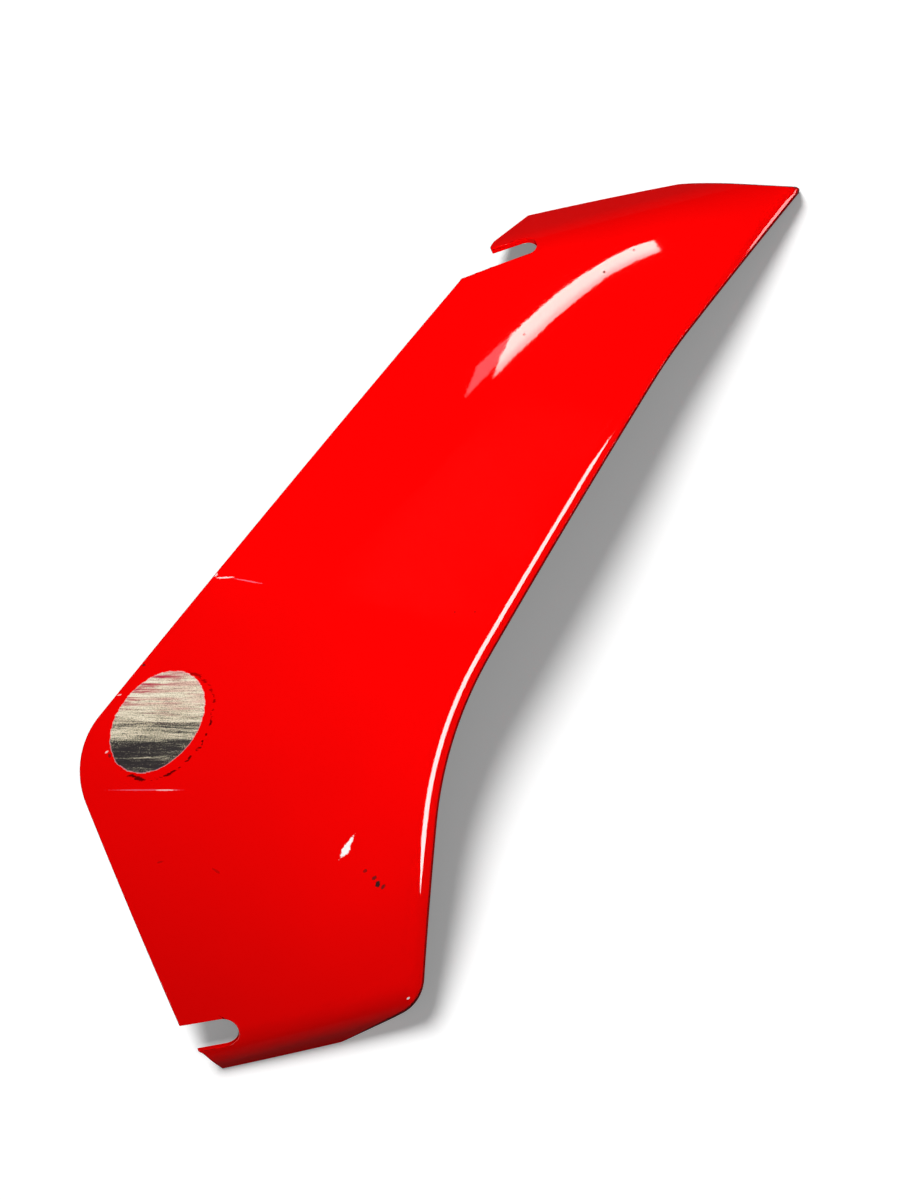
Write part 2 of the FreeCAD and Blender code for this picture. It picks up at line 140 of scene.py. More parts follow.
class Edge:
    """A line with its inward normals, and the distance of any point from it."""

    def __init__(self, points):
        self.points = points
        self.steps = points[1:] - points[:-1]
        self.lengths = np.hypot(*self.steps.T)
        inward = np.stack([-self.steps[:, 1], self.steps[:, 0]], 1) / self.lengths[:, None]
        self.inward = np.vstack([inward[:1], inward[1:] + inward[:-1], inward[-1:]])
        self.inward /= np.hypot(*self.inward.T)[:, None]

    def nearest(self, x, y, block=4000):
        """Signed distance inwards, and the place along the line as segment plus fraction."""
        if len(x) > block:
            gap, place = self.nearest(x[:block], y[:block])
            more_gap, more_place = self.nearest(x[block:], y[block:])
            return np.concatenate([gap, more_gap]), np.concatenate([place, more_place])
        away_x = x[:, None] - self.points[None, :-1, 0]
        away_y = y[:, None] - self.points[None, :-1, 1]
        along = away_x * self.steps[:, 0] + away_y * self.steps[:, 1]
        along = np.clip(along / self.lengths ** 2, 0, 1)
        off_x = away_x - along * self.steps[:, 0]
        off_y = away_y - along * self.steps[:, 1]
        gap = np.hypot(off_x, off_y)
        index = gap.argmin(1)
        pick = np.arange(len(x)), index
        step = self.steps[index]
        side = np.sign(step[:, 0] * off_y[pick] - step[:, 1] * off_x[pick])
        return gap[pick] * side, index + along[pick]

    def at(self, values, place):
        """A value that is known at each point of the line, taken between two of them."""
        return np.interp(place, np.arange(len(values)), values)


FAR = 40.0
lower_turn_x = HEEL[0] - (HEEL[1] - LOWER_LINE) / HEEL_SLOPE


def rim_line(tip_radius):
    """The rim with the panel on its left: along the lower end, up the right edge, and back along
    the top edge."""
    return Edge(rounded_line([
        ((LOWER_TONGUE[0] - FAR, LOWER_LINE), None),
        ((lower_turn_x, LOWER_LINE), LOWER_TURN_RADIUS), (HEEL, HEEL_RADIUS),
        (WAIST, WAIST_RADIUS), (UPPER_TURN, UPPER_TURN_RADIUS),
        (TIP, tip_radius), (TOP_TURN, TOP_TURN_RADIUS),
        ((UPPER_TONGUE[0] - FAR, HALF_SPAN), None)]))


rim = rim_line(TIP_RADIUS)
right_edge = Edge(rounded_line([
    (HEEL, None), (WAIST, WAIST_RADIUS), (UPPER_TURN, UPPER_TURN_RADIUS), (TIP, None)]))

DEEPEST, HALVINGS = 16.0, 40


def solve_inwards(edge, short_of):
    """How far in from each point of the edge short_of(x, y, distance) stops being true."""
    low = np.zeros(len(edge.points))
    high = np.full(len(edge.points), DEEPEST)
    for _ in range(HALVINGS):
        middle = (low + high) / 2
        x, y = (edge.points + edge.inward * middle[:, None]).T
        still = short_of(x, y, middle)
        low, high = np.where(still, middle, low), np.where(still, high, middle)
    return low


# The crest of the roll is where the crown would meet the leaning wall. It is worked out where the
# crown is, and goes straight on past both of its ends.
CROWN_LOW, CROWN_HIGH = -136.0, 130.5
crest_in = solve_inwards(right_edge, lambda x, y, d: d / DRAFT < vault_height(x, y))
crest_z = crest_in / DRAFT
crest_y = right_edge.points[:, 1] + right_edge.inward[:, 1] * crest_in
on_crown = np.flatnonzero((crest_y > CROWN_LOW) & (crest_y < CROWN_HIGH))
first, last = on_crown[0], on_crown[-1]
crest_points = right_edge.points + right_edge.inward * crest_in[:, None]
crest_points = crest_points[first:last + 1]
crest_heights = crest_z[first:last + 1]
slope_low = crest_heights[1] - crest_heights[0]
slope_high = crest_heights[-1] - crest_heights[-2]
ends = [crest_points[0] + (crest_points[0] - crest_points[1]) * FAR,
        crest_points[-1] + (crest_points[-1] - crest_points[-2]) * FAR]
crest = Edge(np.vstack([ends[:1], crest_points, ends[1:]]))
crest_heights = np.concatenate([
    [crest_heights[0] - slope_low * FAR], crest_heights, [crest_heights[-1] + slope_high * FAR]])


def blended_low(first, second, amount):
    """The lower of two heights, with the crease between them rounded."""
    near = np.clip(amount - np.abs(first - second), 0, None)
    return np.minimum(first, second) - near ** 2 / (4 * amount)


def skin_height(x, y, inset=0.0):
    """Height of the outer skin, or of the inner one, from the vault, the roll and the wall."""
    gap, place = rim.nearest(x, y)
    wall = (gap - inset) / DRAFT
    roll_gap, roll_place = crest.nearest(x, y)
    thickness = inset * math.hypot(1, ROLL_SLOPE)
    roll = crest.at(crest_heights, roll_place) - ROLL_DROP - thickness + roll_gap * ROLL_SLOPE
    top = blended_low(vault_height(x, y, inset), roll, ROLL_BLEND)
    return blended_low(top, wall, FOLD_BLEND)


def lower_limit(x, y):
    """Where the rim ends: at its own depth below the vault, or on the floor."""
    return np.maximum(0.0, vault_height(x, y, drop=RIM_HEIGHT))


def outer_reach(edge):
    """How far in from the edge the outer skin starts, at the lower edge of the return flange."""
    return solve_inwards(edge, lambda x, y, d: np.minimum(
        d / DRAFT, vault_height(x, y)) < lower_limit(x, y))


def inner_reach(edge):
    """The same for the inner skin, one wall further in."""
    return solve_inwards(edge, lambda x, y, d: np.minimum(
        (d - WALL) / DRAFT, vault_height(x, y, WALL)) < lower_limit(x, y))


# The sheet is laid out flat first. A band of fine rows follows the rim, from the lower tongue round
# the heel and the tip to the upper tongue, and a coarser net fills what is left of it.

BAND = 9.0
HIP, ELBOW, ELBOW_RADIUS = (-160.6, -130.2), (-174.0, -11.1), 35.0
SHOULDER, UPPER_NICK = (27.7, 133.4), (42.7, 139.5)
CORNER_RADIUS = 1.5
END_CELLS, LONG_CELLS = 72, 200
ROWS = [0.0, 0.3, 0.55, 0.75, 0.87, 0.97, 1.07, 1.2, 1.4, 1.7, 2.1, 2.6, 3.1, 3.6, 4.0, 4.4, 4.8,
        5.2, 5.6, 6.1, 6.8, 7.8, BAND]


def resampled(points, count):
    """The same line in equal steps."""
    run = np.concatenate([[0], np.cumsum(np.hypot(*np.diff(points, axis=0).T))])
    place = np.linspace(0, run[-1], count + 1)
    return np.stack([np.interp(place, run, points[:, axis]) for axis in (0, 1)], 1)


def cut_line(points, tongue, lean, side):
    """Index and place where a line crosses the cut end of a tongue."""
    off = points[:, 0] - tongue[0] - (points[:, 1] - tongue[1]) * side * lean
    crossing = np.flatnonzero((off[:-1] * off[1:] <= 0) & (points[:-1, 1] * side > 0))[0]
    share = off[crossing] / (off[crossing] - off[crossing + 1])
    return crossing, points[crossing] + (points[crossing + 1] - points[crossing]) * share


def three_sides(edge):
    """The lower end, the right edge and the top edge of the sheet, as places on its outline."""
    line = edge.points + edge.inward * outer_reach(edge)[:, None]
    low, low_place = cut_line(line, LOWER_TONGUE, LOWER_LEAN, -1)
    high, high_place = cut_line(line, UPPER_TONGUE, UPPER_LEAN, 1)
    heel = np.hypot(*(line - HEEL).T).argmin()
    tip = np.hypot(*(line - TIP).T).argmin()
    lower = np.vstack([low_place, line[low + 1:heel + 1]])
    upper = np.vstack([line[tip:high + 1], high_place])
    return [resampled(lower, END_CELLS), resampled(line[heel:tip + 1], LONG_CELLS),
            resampled(upper, END_CELLS)]


def inward_of(points):
    """The direction of the line at each of its points, and the direction inwards."""
    steps = np.gradient(points, axis=0)
    steps /= np.hypot(*steps.T)[:, None]
    return steps, np.stack([-steps[:, 1], steps[:, 0]], 1)


SLIDE_RUN = 60.0


def inner_side(points, slide_start, slide_end):
    """The line one band further in. Near an end it slides along, so that corners meet."""
    steps, inward = inward_of(points)
    run = np.concatenate([[0], np.cumsum(np.hypot(*np.diff(points, axis=0).T))])
    slide = slide_start * np.clip(1 - run / SLIDE_RUN, 0, 1)
    slide = slide - slide_end * np.clip(1 - (run[-1] - run) / SLIDE_RUN, 0, 1)
    return points + (inward + steps * slide[:, None]) * BAND


sharp = three_sides(rim_line(None))
tip_half = Vector(sharp[1][-2] - sharp[1][-1]).angle(Vector(sharp[2][1] - sharp[2][0])) / 2
tip_slide = 1 / math.tan(tip_half)
inner = [inner_side(sharp[0], -LOWER_LEAN, 0), inner_side(sharp[1], 0, tip_slide),
         inner_side(sharp[2], tip_slide, -UPPER_LEAN)]
inner[0][-1] = inner[1][0] = (inner[0][-1] + inner[1][0]) / 2
inner[1][-1] = inner[2][0] = (inner[1][-1] + inner[2][0]) / 2
sides = three_sides(rim)
outline = np.vstack([sides[0][:-1], sides[1][:-1], sides[2]])
inner_line = np.vstack([inner[0][:-1], inner[1][:-1], inner[2]])
gap, place = rim.nearest(*outline.T)
wall_shift = rim.at(inner_reach(rim) - outer_reach(rim), place)


def cells(columns, rows):
    """A flat grid, with the column and row of each of its vertices."""
    bpy.ops.object.select_all(action="DESELECT")
    bpy.ops.mesh.primitive_grid_add(
        x_subdivisions=columns, y_subdivisions=rows, size=1, location=(0.5, 0.5, 0))
    grid = bpy.context.object
    bpy.ops.object.transform_apply(location=True)
    flat = np.empty(len(grid.data.vertices) * 3)
    grid.data.vertices.foreach_get("co", flat)
    flat = flat.reshape(-1, 3)
    return grid, np.rint(flat[:, 0] * columns).astype(int), np.rint(flat[:, 1] * rows).astype(int)


def lay(grid, outer, inner):
    """Lay the grid on the outer plan, and keep the place of each vertex on the inner skin."""
    level = np.zeros((len(outer), 1))
    grid.data.vertices.foreach_set("co", np.hstack([outer, level]).ravel())
    inside = grid.data.attributes.new("inside", "FLOAT_VECTOR", "POINT")
    inside.data.foreach_set("vector", np.hstack([inner, level]).ravel())


band, column, row = cells(len(outline) - 1, len(ROWS) - 1)
share = np.array(ROWS)[row] / BAND
shift = wall_shift[column] / BAND
start, finish = outline[column], inner_line[column]
lay(band, start + (finish - start) * share[:, None],
    start + (finish - start) * (shift + share * (1 - shift))[:, None])

# The left edge is cut straight, from the lower tongue round the elbow to the upper tongue. It has
# as many cells as the right edge.
FINE_STEP = 0.25
left_corners = [
    (tuple(inner[0][0]), None), (LOWER_TONGUE, CORNER_RADIUS), (HIP, CORNER_RADIUS),
    (ELBOW, ELBOW_RADIUS), (SHOULDER, CORNER_RADIUS), (UPPER_NICK, CORNER_RADIUS),
    (UPPER_TONGUE, CORNER_RADIUS / 2), (tuple(inner[2][-1]), None)]
LEFT_CELLS = [4, 7, 56, 119, 7, 3, 4]
left_line = rounded_line(left_corners, FINE_STEP)
stops = [0] + [np.hypot(*(left_line - place).T).argmin() for place, _ in left_corners[1:-1]]
stops.append(len(left_line) - 1)
left = np.vstack([
    resampled(left_line[stops[i]:stops[i + 1] + 1], count)[:-1]
    for i, count in enumerate(LEFT_CELLS)] + [left_line[-1:]])

net, column, row = cells(END_CELLS, LONG_CELLS)
across, along = (column / END_CELLS)[:, None], (row / LONG_CELLS)[:, None]
upper = inner[2][::-1]
plan = (left[row] * (1 - across) + inner[1][row] * across
        + inner[0][column] * (1 - along) + upper[column] * along
        - left[0] * (1 - across) * (1 - along) - inner[1][0] * across * (1 - along)
        - left[-1] * (1 - across) * along - inner[1][-1] * across * along)
lay(net, plan, plan)

# Both are joined and extruded, so that the outer skin, the inner skin and the cut edges are one
# closed shell.
FLAT_GAP, INNER_LEVEL = 0.01, -1.0
bpy.ops.object.select_all(action="DESELECT")
band.select_set(True)
net.select_set(True)
bpy.context.view_layer.objects.active = band
bpy.ops.object.join()
panel = bpy.context.object
panel.name = "panel"
bpy.ops.object.mode_set(mode="EDIT")
bpy.ops.mesh.select_all(action="SELECT")
bpy.ops.mesh.remove_doubles(threshold=FLAT_GAP)
bpy.ops.mesh.extrude_region_move(TRANSFORM_OT_translate={"value": (0, 0, INNER_LEVEL)})
bpy.ops.object.mode_set(mode="OBJECT")

# The worn place at the left end: there the road has ground the crown flat, a little deeper than the
# paint. Its long side is parallel to the left edge.

SCUFF, SCUFF_HALF, SCUFF_TURN = (-135.4, -7.4), (23.4, 15.6), math.radians(35.0)
SCUFF_DEPTH, PAINT_DEPTH, PAINT_EDGE = 0.24, 0.08, 0.08


def worn_depth(x, y):
    """How deep the road has ground: the thickness of the paint, and a flat dish in the plastic."""
    along = (x - SCUFF[0]) * math.cos(SCUFF_TURN) + (y - SCUFF[1]) * math.sin(SCUFF_TURN)
    across = (y - SCUFF[1]) * math.cos(SCUFF_TURN) - (x - SCUFF[0]) * math.sin(SCUFF_TURN)
    reach = np.hypot(along / SCUFF_HALF[0], across / SCUFF_HALF[1])
    return (SCUFF_DEPTH * np.clip(1 - reach ** 2, 0, 1)
            + PAINT_DEPTH * np.clip((1 - reach) / PAINT_EDGE, 0, 1))


mesh = panel.data
place = np.empty(len(mesh.vertices) * 3)
mesh.vertices.foreach_get("co", place)
place = place.reshape(-1, 3)
inside = np.empty(len(mesh.vertices) * 3)
mesh.attributes["inside"].data.foreach_get("vector", inside)
inside = inside.reshape(-1, 3)
below = place[:, 2] < INNER_LEVEL / 2
place[below] = inside[below]
place[~below, 2] = skin_height(*place[~below, :2].T) - worn_depth(*place[~below, :2].T)
place[below, 2] = skin_height(*place[below, :2].T, WALL)
place[:, 2] = np.maximum(place[:, 2], 0)
mesh.vertices.foreach_set("co", (place * MM).ravel())
mesh.attributes.remove(mesh.attributes["inside"])
bare_side = [all(below[vertex] for vertex in face.vertices) for face in mesh.polygons]
mesh.polygons.foreach_set("material_index", np.array(bare_side, dtype=np.int32))
mesh.update()
bpy.ops.object.mode_set(mode="EDIT")
bpy.ops.mesh.select_all(action="SELECT")
bpy.ops.mesh.normals_make_consistent(inside=False)
bpy.ops.object.mode_set(mode="OBJECT")

# The two fixing slots, one through each tongue, each take a screw and its bushing, which are pushed
# in from the left. They are cut square to the surface with a long round-ended cutter.
# Each is given by the centre of its round end, its width, its tilt and its turn in degrees.

SLOTS = [(-144.5, -136.2, 12.6, 24.0, -3.0), (56.3, 140.2, 8.6, -50.0, 8.0)]
SLOT_REACH, CUTTER_DEPTH, CUTTER_SIDES = 60.0, 40.0, 64
for slot_x, slot_y, slot_width, tilt, turn in SLOTS:
    bpy.ops.object.select_all(action="DESELECT")
    bpy.ops.mesh.primitive_cylinder_add(
        vertices=CUTTER_SIDES, radius=slot_width / 2 * MM, depth=CUTTER_DEPTH * MM,
        location=(0, 0, 0))
    cutter = bpy.context.object
    for vertex in cutter.data.vertices:
        if vertex.co.x < -SAME_PLACE:
            vertex.co.x -= SLOT_REACH * MM
    level = float(vault_height(slot_x, slot_y))
    cutter.matrix_world = (
        Matrix.Translation(Vector((slot_x, slot_y, level)) * MM)
        @ Matrix.Rotation(math.radians(tilt), 4, "X") @ Matrix.Rotation(math.radians(turn), 4, "Z"))
    bpy.context.view_layer.update()
    bpy.context.view_layer.objects.active = panel
    slot = panel.modifiers.new("slot", "BOOLEAN")
    slot.operation, slot.solver, slot.object = "DIFFERENCE", "EXACT", cutter
    bpy.ops.object.modifier_apply(modifier="slot")
    bpy.data.objects.remove(cutter)

# All the cut edges are eased a little, as the mould and the coat of paint leave them. The faces
# beside them keep their shading.

EASED, SHADING_ANGLE, SHARP_ANGLE = 0.3, math.radians(35), math.radians(55)
CUT_GAP = 0.02
bpy.ops.object.select_all(action="DESELECT")
panel.select_set(True)
bpy.context.view_layer.objects.active = panel
bpy.ops.object.mode_set(mode="EDIT")
bpy.ops.mesh.select_all(action="SELECT")
bpy.ops.mesh.remove_doubles(threshold=CUT_GAP * MM)
bpy.ops.object.mode_set(mode="OBJECT")
bpy.ops.object.shade_smooth_by_angle(angle=SHADING_ANGLE)
ease = panel.modifiers.new("ease", "BEVEL")
ease.limit_method, ease.angle_limit = "ANGLE", SHARP_ANGLE
ease.width, ease.segments = EASED * MM, 2
ease.use_clamp_overlap = False
ease.harden_normals = True
bpy.ops.object.modifier_apply(modifier="ease")
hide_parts("deflector_panel")
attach(panel, "root")


# The red paint: a hard gloss enamel with the faint orange peel of a sprayed coat. At the scuff it
# is worn through to ivory plastic and road dirt, and it is chipped and scratched in a few places.

class Wire:
    """A value in a material. Arithmetic on it adds Math nodes, and add() any other node."""

    def __init__(self, socket):
        self.socket = socket

    def add(self, kind, settings, sockets, output=0):
        """A node of this kind, with its settings first and then its sockets."""
        tree = self.socket.id_data
        node = tree.nodes.new(kind)
        for name, value in settings.items():
            setattr(node, name, value)
        for name, value in sockets.items():
            if isinstance(value, Wire):
                tree.links.new(value.socket, node.inputs[name])
            else:
                node.inputs[name].default_value = value
        return Wire(node.outputs[output])

    def math(self, operation, first, second):
        return self.add("ShaderNodeMath", {"operation": operation}, {0: first, 1: second})

    def __add__(self, other):
        return self.math("ADD", self, other)

    def __sub__(self, other):
        return self.math("SUBTRACT", self, other)

    def __rsub__(self, other):
        return self.math("SUBTRACT", other, self)

    def __mul__(self, other):
        return self.math("MULTIPLY", self, other)

    __radd__, __rmul__ = __add__, __mul__

    def fade(self, start, end):
        """0 before start, 1 after end, and a smooth change between."""
        return self.add("ShaderNodeMapRange", {"interpolation_type": "SMOOTHSTEP"},
                        {"Value": self, "From Min": start, "From Max": end})

    def tint(self, under, over):
        """The colour under where this is 0, and the colour over where it is 1."""
        return self.add("ShaderNodeMix", {"data_type": "RGBA"}, {0: self, 6: under, 7: over}, 2)

    def frame(self, centre, turn, half=(1000.0, 1000.0)):
        """Places measured from a point of the surface, turned, in units of the half sizes."""
        return self.add("ShaderNodeMapping", {"vector_type": "TEXTURE"}, {
            "Vector": self, "Location": (centre[0] * MM, centre[1] * MM, 0),
            "Rotation": (0, 0, turn), "Scale": (half[0] * MM, half[1] * MM, 1)})

    def length(self):
        """How far a place is from the origin of its frame."""
        return self.add("ShaderNodeVectorMath", {"operation": "LENGTH"}, {0: self}, 1)

    def stretched(self, across, along):
        """The same places in plan, counted in smaller steps along each axis."""
        return self.add("ShaderNodeVectorMath", {"operation": "MULTIPLY"},
                        {0: self, 1: (across, along, 0)})

    def noise(self, scale, detail=2.0, roughness=0.5):
        """Cloudy noise from 0 to 1, with so many lumps to the metre."""
        return self.add("ShaderNodeTexNoise", {}, {
            "Vector": self, "Scale": scale, "Detail": detail, "Roughness": roughness})

    def axis(self, index):
        return self.add("ShaderNodeSeparateXYZ", {}, {0: self}, index)


def colour(red, green, blue):
    return (red, green, blue, 1.0)


TO_MM = 1000.0


def new_material(name):
    """The material, its shader, and the places on the object that its patterns follow."""
    material = bpy.data.materials.new(name)
    material.use_nodes = True
    tree = material.node_tree
    shader = tree.nodes["Principled BSDF"]
    places = Wire(tree.nodes.new("ShaderNodeTexCoord").outputs["Object"])
    return material, shader, places


def connect(shader, sockets):
    for name, wire in sockets.items():
        shader.id_data.links.new(wire.socket, shader.inputs[name])


paint, shader, places = new_material("red_gloss_paint")
shader.inputs["IOR"].default_value = 1.5
RED, DEEP_RED = colour(0.90, 0.0, 0.0), colour(0.82, 0.0, 0.0)
PINK, PALE_PINK = colour(0.80, 0.10, 0.16), colour(0.93, 0.60, 0.60)
CREAM, BEIGE = colour(0.86, 0.79, 0.64), colour(0.62, 0.53, 0.38)
OLIVE, BLACK = colour(0.27, 0.25, 0.18), colour(0.025, 0.02, 0.022)
MAROON, DARK = colour(0.12, 0.0, 0.0), colour(0.03, 0.0, 0.0)
BLUSH, WINE, RIM_PINK = colour(0.78, 0.36, 0.33), colour(0.45, 0.02, 0.06), colour(0.93, 0.40, 0.44)
PRIMER = colour(0.98, 0.96, 0.95)

cloud = places.noise(9.0, 3.0)
surface = cloud.fade(0.3, 0.7).tint(DEEP_RED, RED)

# Scrapes of the worn place run across the photograph, 15 degrees from the length of the panel.
LEVEL = math.radians(-15.0)
worn = places.frame(SCUFF, LEVEL)
scrape = worn.stretched(95, 1900).noise(1.0, 6.0, 0.72)
smear = worn.stretched(34, 520).noise(1.0, 4.0, 0.6)
bands = worn.stretched(9, 190).noise(1.0, 2.0)
grain = worn.noise(2600.0, 2.0)
rise, side = worn.axis(1) * TO_MM, worn.axis(0) * TO_MM
ragged = places.noise(420.0, 3.0, 0.7) * 0.07 + scrape * 0.07 - 0.07
reach = places.frame(SCUFF, SCUFF_TURN, SCUFF_HALF).length() + ragged
ground = 1 - reach.fade(0.985, 1.0)
torn_rim = reach.fade(0.972, 0.992) * ground

tone = ((scrape - 0.5) * 2.0 + (smear - 0.5) * 1.6 + (bands - 0.5) * 1.1
        + rise.fade(9.0, -1.0) * 0.22 + rise.fade(-5.5, -8.5) * 0.5 + (grain - 0.5) * 1.6)
wear = tone.fade(-0.35, 0.12).tint(CREAM, BEIGE)
wear = tone.fade(0.08, 0.34).tint(wear, OLIVE)
wear = tone.fade(0.36, 0.62).tint(wear, BLACK)
blush = (smear * 0.6 + bands * 0.4).fade(0.47, 0.58) * rise.fade(-2.0, 5.0) * 0.45
wear = blush.tint(wear, BLUSH)
corner = (rise - side * 0.55).fade(9.0, 17.0)
wear = (corner * (scrape * 0.5 + smear * 0.5).fade(0.47, 0.56)).tint(wear, WINE)
wear = (torn_rim * 0.8).tint(wear, RIM_PINK)

# Dark scraps where the paint has lifted, outside the lower right rim and at its upper right.
scraps = places.frame((SCUFF[0] + 2.0, SCUFF[1] - 2.2), SCUFF_TURN, SCUFF_HALF).length()
scraps = scraps + ragged * 1.2 + places.noise(150.0, 2.0) * 0.16
lifted = scraps.fade(1.085, 1.105) * (1 - scraps.fade(1.13, 1.16))
crumbs = worn.stretched(170, 380).noise(1.0, 3.0, 0.6).fade(0.49, 0.55)
lower_right = (side * 0.75 - rise).fade(7.0, 13.0)
upper_right = (side * 0.6 + rise).fade(17.0, 20.0)
surface = (lifted * crumbs * (lower_right + upper_right * 0.6)).tint(surface, MAROON)
surface = ground.tint(surface, wear)

# Single chips, scratches and specks: middle, half length, half width, direction in degrees, colour
# and strength.
MARKS = [
    ((-75.5, -74.9), 5.8, 1.0, 44, PALE_PINK, 1.0),
    ((-75.4, -74.8), 5.2, 0.8, 44, PRIMER, 1.0),
    ((-76.5, -76.0), 3.0, 1.6, 44, PRIMER, 1.0),
    # A small pale spot on the bend near the heel.
    ((-68.4, -141.6), 0.9, 0.5, 20, PRIMER, 0.9),
    ((-71.3, -86.2), 1.1, 0.7, 20, DARK, 0.65), ((-68.5, -89.9), 1.3, 0.75, 30, DARK, 0.8),
    ((-67.8, -92.6), 1.7, 1.0, 60, DARK, 1.0), ((-66.0, -94.3), 1.3, 0.75, 40, DARK, 0.8),
    ((-94.5, 41.0), 3.7, 0.33, -12, PALE_PINK, 0.95), ((-86.2, 37.4), 6.6, 0.3, -25, PINK, 0.9),
    ((-97.7, 42.9), 1.0, 0.4, 30, PALE_PINK, 0.9),
    ((-146.7, -32.4), 15.6, 0.3, -14.7, PINK, 0.75),
    ((-140.0, -34.2), 4.5, 0.32, -14.7, PALE_PINK, 0.6),
    ((-134.6, 15.9), 0.7, 0.5, 0, MAROON, 0.9), ((-147.4, 6.9), 1.0, 0.3, 0, PALE_PINK, 0.8),
    ((-158.0, -13.7), 0.9, 0.4, 20, PALE_PINK, 0.8), ((-157.4, -15.4), 0.9, 0.6, 80, MAROON, 0.8),
    ((-10.0, 4.2), 0.4, 0.3, 0, MAROON, 0.6), ((-2.3, 2.2), 0.4, 0.3, 0, MAROON, 0.6),
    ((-149.3, -61.6), 1.6, 0.5, 0, MAROON, 0.35), ((-128.6, -70.8), 2.0, 0.6, -50, MAROON, 0.35),
    ((83.5, 120.9), 0.6, 0.45, 0, MAROON, 1.0), ((97.7, 126.6), 0.5, 0.4, 0, MAROON, 0.7),
    ((45.6, 104.4), 0.45, 0.4, 0, MAROON, 0.5)]
wobble = places.noise(700.0, 3.0, 0.7) * 1.1 - 0.55
marked = ground
for centre, long_half, short_half, turn, hue, strength in MARKS:
    mark = places.frame(centre, math.radians(turn), (long_half, short_half)).length() + wobble
    mask = (1 - mark.fade(0.7, 1.05)) * strength
    surface = mask.tint(surface, hue)
    marked = marked.math("MAXIMUM", marked, mask)

# The relief is in metres: 2 micrometres of orange peel, and scrapes 0.09 mm deep.
PEEL_HEIGHT, SCRAPE_HEIGHT = 0.000002, 0.00009
GLOSS, GLOSS_CHANGE, WORN_ROUGHNESS = 0.01, 0.02, 0.4
peel = places.noise(380.0, 2.0)
relief = (1 - ground) * peel * PEEL_HEIGHT + ground * scrape * SCRAPE_HEIGHT
bump = relief.add("ShaderNodeBump", {}, {"Strength": 1.0, "Distance": 1.0, "Height": relief})
connect(shader, {
    "Base Color": surface,
    "Roughness": marked * WORN_ROUGHNESS + (places.noise(40.0, 3.0) * GLOSS_CHANGE + GLOSS),
    "Normal": bump})
panel.data.materials.append(paint)

# The underside: the bare moulding, ivory ABS with a fine satin grain, and a mist of red that the
# spray gun left along its edges.

plastic, shader, places = new_material("ivory_plastic")
IVORY, SHADED_IVORY = colour(0.70, 0.64, 0.50), colour(0.62, 0.56, 0.43)
OVERSPRAY = colour(0.66, 0.01, 0.01)
SATIN, SATIN_CHANGE, GRAIN_HEIGHT = 0.38, 0.2, 0.00001
flow = places.noise(16.0, 4.0)
mist = places.noise(700.0, 3.0, 0.7)
drift = places.noise(45.0, 2.0)


def from_line(start, end):
    """Distance in millimetres from one straight run of the left edge."""
    run = (Vector(end) - Vector(start)).normalized()
    return places.frame(start, math.atan2(run.y, run.x)).axis(1) * -TO_MM


left_gap = from_line(ELBOW, SHOULDER)
end_gap = from_line(HIP, ELBOW)
gap = left_gap.math("MINIMUM", left_gap, end_gap)
low = 1 - (places.axis(2) * TO_MM).fade(4.0, 17.0)
near = 1 - gap.fade(0.5, 9.0)
spray = low.math("MAXIMUM", low, near)
covered = (spray * 0.75 + (mist - 0.5) * 1.1 + (drift - 0.5) * 0.6).fade(0.3, 0.62)
skin = covered.tint(flow.fade(0.3, 0.7).tint(IVORY, SHADED_IVORY), OVERSPRAY)
grain = places.noise(1500.0, 2.0) * GRAIN_HEIGHT
bump = grain.add("ShaderNodeBump", {}, {"Strength": 1.0, "Distance": 1.0, "Height": grain})
connect(shader, {"Base Color": skin, "Roughness": mist * SATIN_CHANGE + SATIN, "Normal": bump})
panel.data.materials.append(plastic)


# The camera: it looks straight down on the panel from 1.2 m, turned 15 degrees, as in the
# photograph.

CAMERA_HEIGHT, CAMERA_TURN = 1.2, math.radians(15.0)
SENSOR, LENS, SHIFT = 36.0, 87.75, (0.0083, 0.0225)
camera_data = bpy.data.cameras.new("camera")
camera_data.sensor_fit = "VERTICAL"
camera_data.sensor_height, camera_data.lens = SENSOR, LENS
camera_data.shift_x, camera_data.shift_y = SHIFT
camera = bpy.data.objects.new("camera", camera_data)
bpy.context.scene.collection.objects.link(camera)
camera.location = (CROSS_APEX_X * MM, 0, CAMERA_HEIGHT)
camera.rotation_euler = (0, 0, -CAMERA_TURN)
bpy.context.scene.camera = camera

# The floor: a plain white sheet that the panel lies on. In the view it is a full white apart from
# the shadow, but it throws little light back, so that the two end flanges stay a deep red.

FLOOR_SIZE = 6.0
SHEET, SHEET_GLOW = colour(0.92, 0.92, 0.92), colour(0.22, 0.22, 0.22)
THROWN_BACK, MIRRORED = colour(0.06, 0.06, 0.06), colour(0.05, 0.05, 0.05)
bpy.ops.object.select_all(action="DESELECT")
bpy.ops.mesh.primitive_plane_add(size=FLOOR_SIZE, location=(0, 0, 0))
floor = bpy.context.object
floor.name = "floor"
white, shader, _ = new_material("white_floor")
shader.inputs["Roughness"].default_value = 0.9
shader.inputs["Specular IOR Level"].default_value = 0.0
shader.inputs["Emission Strength"].default_value = 1.0
path = white.node_tree.nodes.new("ShaderNodeLightPath")
in_view = Wire(path.outputs["Is Camera Ray"])
in_gloss = Wire(path.outputs["Is Glossy Ray"])
unseen = in_gloss.tint(THROWN_BACK, MIRRORED)
connect(shader, {
    "Base Color": in_view.tint(unseen, SHEET),
    "Emission Color": in_view.tint(colour(0, 0, 0), SHEET_GLOW)})
floor.data.materials.append(white)

# The lamps: a soft main light from the upper left throws the shadow, and a near one over the right
# half lights the crown. Gloss shows neither of them, only three softboxes and two curved tubes.


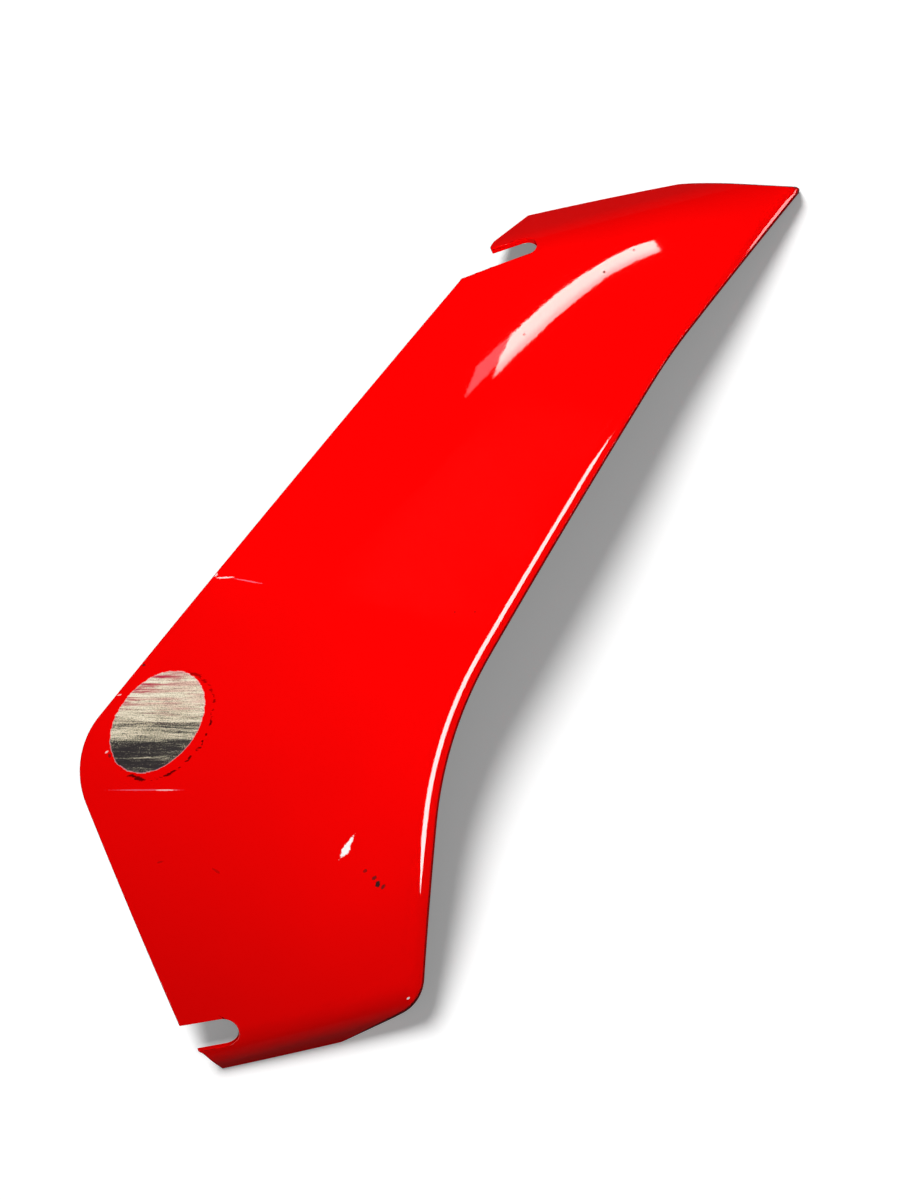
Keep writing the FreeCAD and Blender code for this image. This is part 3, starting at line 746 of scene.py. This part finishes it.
def lamp(name, kind, energy, location, aim, size, glossy):
    """A lamp that is seen either in gloss alone or in the plain light alone."""
    data = bpy.data.lights.new(name, kind)
    data.energy = energy
    if kind == "SUN":
        data.angle = size
    else:
        data.shape = "RECTANGLE"
        data.size, data.size_y = size
    light = bpy.data.objects.new(name, data)
    bpy.context.scene.collection.objects.link(light)
    light.location = location
    light.rotation_euler = (Vector(aim) - Vector(location)).to_track_quat("-Z", "Y").to_euler()
    light.visible_glossy, light.visible_diffuse = glossy, not glossy
    return light


def shine_on(light, receiver):
    """Let the lamp light one object alone."""
    group = bpy.data.collections.new(light.name + "_on_" + receiver.name)
    group.objects.link(receiver)
    light.light_linking.receiver_collection = group


main = lamp("main_light", "SUN", 3.5, (-0.27, 0.88, 1.0), (0, 0, 0), math.radians(22), False)
shine_on(main, floor)
crown_light = lamp(
    "crown_light", "AREA", 4.05, (0.10, 0.105, 0.56), (0.02, 0.02, 0.03), (0.3, 0.3), False)
shine_on(crown_light, panel)
lamp("low_softbox", "AREA", 4.2, (1.80, -0.85, 0.36), (0, -0.03, 0.03), (0.9, 0.2), True)
lamp("side_softbox", "AREA", 33.0, (1.22, -1.0, 1.24), (0, -0.03, 0.03), (0.88, 0.62), True)
lamp("rear_softbox", "AREA", 8.0, (-1.15, -1.3, 0.95), (0, 0, 0.03), (1.1, 0.4), True)

# Each tube is a bent strip, given by its two long sides at one height, with its radiance.
TUBE_HEIGHT = 1.5
TUBES = [
    ("light_tube",
     [(0.219, 0.988), (0.258, 1.093), (0.296, 1.149), (0.357, 1.234),
      (0.419, 1.313), (0.500, 1.391), (0.562, 1.437), (0.612, 1.454)],
     [(0.192, 0.893), (0.244, 0.974), (0.295, 1.044), (0.346, 1.119),
      (0.409, 1.200), (0.483, 1.288), (0.550, 1.339), (0.610, 1.367)],
     colour(1.0, 0.93, 0.87), colour(0.62, 0.54, 0.52), 21.0),
    ("faint_tube",
     [(0.132, 0.839), (0.172, 0.971), (0.215, 1.034), (0.257, 1.094)],
     [(0.136, 0.846), (0.186, 0.920), (0.207, 0.958), (0.254, 1.083)],
     colour(0.8, 0.9, 1.0), colour(0.8, 0.9, 1.0), 2.6)]
for name, far_side, near_side, bright, soft, strength in TUBES:
    tube, column, row = cells(len(far_side) - 1, 1)
    place = np.where(row[:, None] == 1, np.array(far_side)[column], np.array(near_side)[column])
    tube.data.vertices.foreach_set(
        "co", np.hstack([place, np.full((len(place), 1), TUBE_HEIGHT)]).ravel())
    tube.data.update()
    tube.name = name
    tube.visible_camera = tube.visible_diffuse = tube.visible_shadow = False
    tube.visible_transmission = False
    glow, shader, _ = new_material(name + "_glow")
    across = Wire(glow.node_tree.nodes.new("ShaderNodeTexCoord").outputs["UV"]).axis(1)
    shader.inputs["Base Color"].default_value = colour(0, 0, 0)
    shader.inputs["Emission Strength"].default_value = strength
    connect(shader, {"Emission Color": across.fade(0.05, 0.5).tint(soft, bright)})
    tube.data.materials.append(glow)

# The room: white in the view, nearly dark in gloss, and a weak even light on all sides.

world = bpy.data.worlds.new("room")
bpy.context.scene.world = world
world.use_nodes = True
background = world.node_tree.nodes["Background"]
path = world.node_tree.nodes.new("ShaderNodeLightPath")
ROOM, DIM, WHITE = colour(0.12, 0.12, 0.12), colour(0.02, 0.02, 0.02), colour(1, 1, 1)
seen = Wire(path.outputs["Is Glossy Ray"]).tint(ROOM, DIM)
seen = Wire(path.outputs["Is Camera Ray"]).tint(seen, WHITE)
world.node_tree.links.new(seen.socket, background.inputs["Color"])
bpy.context.scene.view_settings.view_transform = "Standard"
